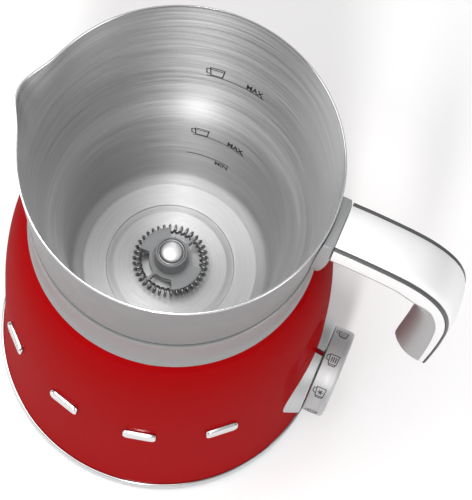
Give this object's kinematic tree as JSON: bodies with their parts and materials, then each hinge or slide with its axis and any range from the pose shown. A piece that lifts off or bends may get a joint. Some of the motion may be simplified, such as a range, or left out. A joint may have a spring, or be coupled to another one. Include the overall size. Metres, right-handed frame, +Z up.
{
  "type": "milk frothing pitcher",
  "caption": "Induction milk frother: red enamel base with chrome ring and side dial, lift-out steel jug with spout and hooked handle, magnetic coil whisk on a centre post.",
  "frame": {"origin": "on the table, under the middle of the overall outline in plan; the common axis of base and jug stands 17.8 mm towards -X", "axes": "+Z up along the common axis, +X towards the handle and the dial, -X towards the spout"},
  "size_m": [0.1776, 0.142, 0.218],
  "materials": {
    "polished_steel": "mirror polished stainless steel",
    "brushed_steel": "circumferentially brushed",
    "chrome_trim": "bright chrome",
    "red_enamel": "high gloss red enamel",
    "grey_plastic": "matt",
    "dark_plastic": "matt",
    "light_plastic": "satin",
    "black_rubber": "matt",
    "copper": "enamelled copper winding",
    "ferrite": "sintered",
    "board": "green circuit board laminate",
    "sensor_steel": "turned"
  },
  "bodies": {
    "base": {"outer_shell": "red_enamel", "neck_collar": "polished_steel", "base_ring": "chrome_trim", "well_liner": "grey_plastic", "bottom_cover": "dark_plastic", "foot_1": "black_rubber", "foot_2": "black_rubber", "foot_3": "black_rubber", "foot_4": "black_rubber", "base_screw_1": "chrome_trim", "base_screw_2": "chrome_trim", "base_screw_3": "chrome_trim", "screw_boss_1": "light_plastic", "screw_boss_2": "light_plastic", "screw_boss_3": "light_plastic", "chassis_frame": "light_plastic", "motor_housing": "brushed_steel", "motor_mount": "light_plastic", "induction_coil": "copper", "coil_carrier": "ferrite", "coil_post_1": "light_plastic", "coil_post_2": "light_plastic", "coil_post_3": "light_plastic", "control_board": "board", "board_capacitor": "dark_plastic", "board_relay": "dark_plastic", "sensor_cup": "light_plastic", "sensor_spring": "sensor_steel", "dial_bezel": "brushed_steel", "dial_pointer": "red_enamel", "dial_encoder": "dark_plastic", "cord_gland": "black_rubber", "badge_1": "chrome_trim", "badge_2": "chrome_trim", "badge_3": "chrome_trim", "badge_4": "chrome_trim"},
    "jug": {"jug_vessel": "brushed_steel", "whisk_post": "chrome_trim", "handle_bracket": "light_plastic", "handle_grip": "polished_steel", "handle_inlay": "dark_plastic", "handle_cover": "polished_steel", "handle_screw": "chrome_trim"},
    "bush": {"whisk_bush": "light_plastic"},
    "whisk": {"whisk_carrier": "light_plastic", "frothing_coil": "brushed_steel", "whisk_magnet_a": "ferrite", "whisk_magnet_b": "ferrite"},
    "drive": {"motor_shaft": "brushed_steel", "drive_rotor": "grey_plastic", "drive_magnet_a": "ferrite", "drive_magnet_b": "ferrite"},
    "dial": {"control_dial": "brushed_steel"},
    "button": {"start_button": "light_plastic"},
    "sensor": {"sensor_plunger": "sensor_steel"}
  },
  "joints": [
    {"name": "jug_lift", "type": "slide", "parent": "base", "child": "jug", "axis": [0, 0, 1], "range_m": [0, 0.13]},
    {"name": "whisk_lift", "type": "slide", "parent": "jug", "child": "bush", "axis": [0, 0, 1], "range_m": [0, 0.125]},
    {"name": "whisk_spin", "type": "hinge", "parent": "bush", "child": "whisk", "pos_m": [-0.01777, 0, 0.1041], "axis": [0, 0, 1], "continuous": true},
    {"name": "rotor_spin", "type": "hinge", "parent": "base", "child": "drive", "pos_m": [-0.01777, 0, 0.0824], "axis": [0, 0, 1], "continuous": true},
    {"name": "dial_turn", "type": "hinge", "parent": "base", "child": "dial", "pos_m": [0.06103, 0, 0.0453], "axis": [1, 0, 0], "continuous": true},
    {"name": "button_press", "type": "slide", "parent": "base", "child": "button", "axis": [-1, 0, 0], "range_m": [0, 0.0012], "stiffness_N_per_m": 400},
    {"name": "sensor_press", "type": "slide", "parent": "base", "child": "sensor", "axis": [0, 0, -1], "range_m": [0, 0.0014], "stiffness_N_per_m": 300, "deforming": ["sensor_spring"]}
  ],
  "couplings": [
    {"joint": "whisk_spin", "follows": "rotor_spin", "ratio": 1}
  ]
}
